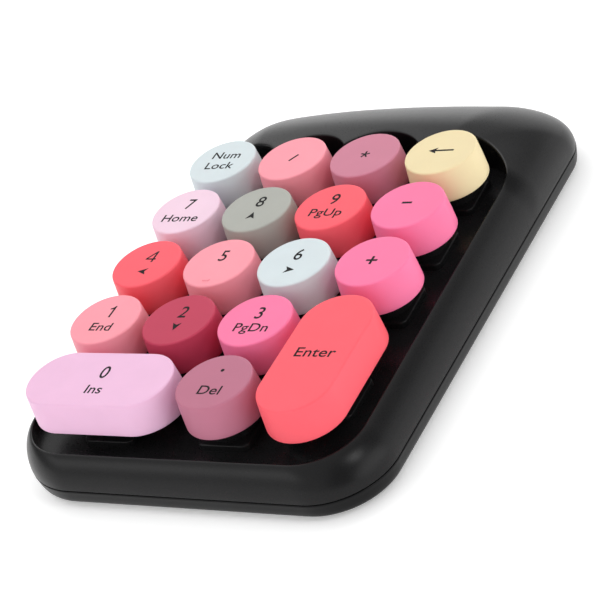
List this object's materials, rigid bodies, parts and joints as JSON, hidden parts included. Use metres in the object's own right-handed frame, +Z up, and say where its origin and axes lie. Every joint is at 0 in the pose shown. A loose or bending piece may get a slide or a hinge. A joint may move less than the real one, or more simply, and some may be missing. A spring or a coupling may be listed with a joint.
{
  "type": "numeric keypad",
  "caption": "Cordless numeric keypad with round sprung keycaps in a recessed well, raised battery housing at the back and four rubber feet.",
  "frame": {"origin": "on the desk surface, under the centre of the case's bounding box", "axes": "+X to the user's right, +Y towards the raised back, +Z up from the desk"},
  "size_m": [0.0904, 0.1298, 0.0248],
  "materials": {
    "cap_lilac": "smooth matte moulded plastic",
    "cap_red": "smooth matte moulded plastic",
    "cap_mauve": "smooth matte moulded plastic",
    "cap_pink": "smooth matte moulded plastic",
    "cap_rose": "smooth matte moulded plastic",
    "cap_hot_pink": "smooth matte moulded plastic",
    "cap_ice": "smooth matte moulded plastic",
    "cap_grey": "smooth matte moulded plastic",
    "cap_cream": "smooth matte moulded plastic",
    "case_black": "fine satin black",
    "deck_black": "polished black",
    "switch_grey": "satin dark grey",
    "silicone": "milky silicone rubber",
    "film": "printed polyester film",
    "steel_sheet": "rolled zinc-coated sheet",
    "spring_steel": "bright nickel plated",
    "screw_steel": "zinc plated",
    "laminate": "green solder mask",
    "chip_black": "black moulded epoxy",
    "smd": "small ceramic parts",
    "cell_sleeve": "plain printed sleeve",
    "foot_rubber": "soft black rubber"
  },
  "bodies": {
    "housing": {"top_case": "case_black", "key_deck": "deck_black", "bottom_case": "case_black", "dome_sheet": "silicone", "membrane_sheet": "film", "backing_plate": "steel_sheet", "circuit_board": "laminate", "control_chip": "chip_black", "radio_crystal": "spring_steel", "board_parts": "smd", "tail_clamp": "switch_grey", "power_switch_body": "spring_steel", "battery_cell": "cell_sleeve", "positive_contact": "spring_steel", "negative_contact": "spring_steel", "battery_lead": "chip_black", "usb_receiver_body": "chip_black", "usb_receiver_plug": "spring_steel", "rubber_feet": "foot_rubber", "case_screws": "screw_steel", "deck_screws": "screw_steel", "plate_screws": "screw_steel", "board_screws": "screw_steel"},
    "key_0": {"key_0": "cap_lilac"},
    "key_1": {"key_1": "cap_pink"},
    "key_2": {"key_2": "cap_rose"},
    "key_3": {"key_3": "cap_hot_pink"},
    "key_4": {"key_4": "cap_red"},
    "key_5": {"key_5": "cap_pink"},
    "key_6": {"key_6": "cap_ice"},
    "key_7": {"key_7": "cap_lilac"},
    "key_8": {"key_8": "cap_grey"},
    "key_9": {"key_9": "cap_red"},
    "key_decimal": {"key_decimal": "cap_mauve"},
    "key_enter": {"key_enter": "cap_red"},
    "key_plus": {"key_plus": "cap_hot_pink"},
    "key_minus": {"key_minus": "cap_hot_pink"},
    "key_multiply": {"key_multiply": "cap_mauve"},
    "key_divide": {"key_divide": "cap_pink"},
    "key_num_lock": {"key_num_lock": "cap_ice"},
    "key_backspace": {"key_backspace": "cap_cream"},
    "stabiliser_bar_0": {"stabiliser_bar_0": "spring_steel"},
    "stabiliser_bar_enter": {"stabiliser_bar_enter": "spring_steel"},
    "power_switch_knob": {"power_switch_knob": "switch_grey", "power_switch_lever": "switch_grey"},
    "battery_door": {"battery_door": "case_black"}
  },
  "joints": [
    {"name": "key_0_press", "type": "slide", "parent": "housing", "child": "key_0", "axis": [0, -0.0218, 0.9998], "range_m": [-0.0035, 0], "stiffness_N_per_m": 150, "springref_m": 0.001, "deforming": ["dome_sheet"]},
    {"name": "key_1_press", "type": "slide", "parent": "housing", "child": "key_1", "axis": [0, -0.0218, 0.9998], "range_m": [-0.0035, 0], "stiffness_N_per_m": 150, "springref_m": 0.001, "deforming": ["dome_sheet"]},
    {"name": "key_2_press", "type": "slide", "parent": "housing", "child": "key_2", "axis": [0, -0.0218, 0.9998], "range_m": [-0.0035, 0], "stiffness_N_per_m": 150, "springref_m": 0.001, "deforming": ["dome_sheet"]},
    {"name": "key_3_press", "type": "slide", "parent": "housing", "child": "key_3", "axis": [0, -0.0218, 0.9998], "range_m": [-0.0035, 0], "stiffness_N_per_m": 150, "springref_m": 0.001, "deforming": ["dome_sheet"]},
    {"name": "key_4_press", "type": "slide", "parent": "housing", "child": "key_4", "axis": [0, -0.0218, 0.9998], "range_m": [-0.0035, 0], "stiffness_N_per_m": 150, "springref_m": 0.001, "deforming": ["dome_sheet"]},
    {"name": "key_5_press", "type": "slide", "parent": "housing", "child": "key_5", "axis": [0, -0.0218, 0.9998], "range_m": [-0.0035, 0], "stiffness_N_per_m": 150, "springref_m": 0.001, "deforming": ["dome_sheet"]},
    {"name": "key_6_press", "type": "slide", "parent": "housing", "child": "key_6", "axis": [0, -0.0218, 0.9998], "range_m": [-0.0035, 0], "stiffness_N_per_m": 150, "springref_m": 0.001, "deforming": ["dome_sheet"]},
    {"name": "key_7_press", "type": "slide", "parent": "housing", "child": "key_7", "axis": [0, -0.0218, 0.9998], "range_m": [-0.0035, 0], "stiffness_N_per_m": 150, "springref_m": 0.001, "deforming": ["dome_sheet"]},
    {"name": "key_8_press", "type": "slide", "parent": "housing", "child": "key_8", "axis": [0, -0.0218, 0.9998], "range_m": [-0.0035, 0], "stiffness_N_per_m": 150, "springref_m": 0.001, "deforming": ["dome_sheet"]},
    {"name": "key_9_press", "type": "slide", "parent": "housing", "child": "key_9", "axis": [0, -0.0218, 0.9998], "range_m": [-0.0035, 0], "stiffness_N_per_m": 150, "springref_m": 0.001, "deforming": ["dome_sheet"]},
    {"name": "key_decimal_press", "type": "slide", "parent": "housing", "child": "key_decimal", "axis": [0, -0.0218, 0.9998], "range_m": [-0.0035, 0], "stiffness_N_per_m": 150, "springref_m": 0.001, "deforming": ["dome_sheet"]},
    {"name": "key_enter_press", "type": "slide", "parent": "housing", "child": "key_enter", "axis": [0, -0.0218, 0.9998], "range_m": [-0.0035, 0], "stiffness_N_per_m": 150, "springref_m": 0.001, "deforming": ["dome_sheet"]},
    {"name": "key_plus_press", "type": "slide", "parent": "housing", "child": "key_plus", "axis": [0, -0.0218, 0.9998], "range_m": [-0.0035, 0], "stiffness_N_per_m": 150, "springref_m": 0.001, "deforming": ["dome_sheet"]},
    {"name": "key_minus_press", "type": "slide", "parent": "housing", "child": "key_minus", "axis": [0, -0.0218, 0.9998], "range_m": [-0.0035, 0], "stiffness_N_per_m": 150, "springref_m": 0.001, "deforming": ["dome_sheet"]},
    {"name": "key_multiply_press", "type": "slide", "parent": "housing", "child": "key_multiply", "axis": [0, -0.0218, 0.9998], "range_m": [-0.0035, 0], "stiffness_N_per_m": 150, "springref_m": 0.001, "deforming": ["dome_sheet"]},
    {"name": "key_divide_press", "type": "slide", "parent": "housing", "child": "key_divide", "axis": [0, -0.0218, 0.9998], "range_m": [-0.0035, 0], "stiffness_N_per_m": 150, "springref_m": 0.001, "deforming": ["dome_sheet"]},
    {"name": "key_num_lock_press", "type": "slide", "parent": "housing", "child": "key_num_lock", "axis": [0, -0.0218, 0.9998], "range_m": [-0.0035, 0], "stiffness_N_per_m": 150, "springref_m": 0.001, "deforming": ["dome_sheet"]},
    {"name": "key_backspace_press", "type": "slide", "parent": "housing", "child": "key_backspace", "axis": [0, -0.0218, 0.9998], "range_m": [-0.0035, 0], "stiffness_N_per_m": 150, "springref_m": 0.001, "deforming": ["dome_sheet"]},
    {"name": "stabiliser_bar_0_turn", "type": "hinge", "parent": "housing", "child": "stabiliser_bar_0", "pos_m": [-0.01905, -0.04426, 0.01212], "axis": [1, 0, 0], "range_deg": [-0.5, 25.44]},
    {"name": "stabiliser_bar_enter_turn", "type": "hinge", "parent": "housing", "child": "stabiliser_bar_enter", "pos_m": [0.02318, -0.04014, 0.01221], "axis": [0, 0.9998, 0.0218], "range_deg": [-0.5, 25.44]},
    {"name": "power_switch_slide", "type": "slide", "parent": "housing", "child": "power_switch_knob", "axis": [0, 1, 0], "range_m": [0, 0.002]},
    {"name": "battery_door_off", "type": "slide", "parent": "housing", "child": "battery_door", "axis": [0, 0, -1], "range_m": [0, 0.012]}
  ],
  "couplings": [
    {"joint": "stabiliser_bar_0_turn", "follows": "key_0_press", "rad_per_m": -124.37},
    {"joint": "stabiliser_bar_enter_turn", "follows": "key_enter_press", "rad_per_m": -124.37}
  ]
}
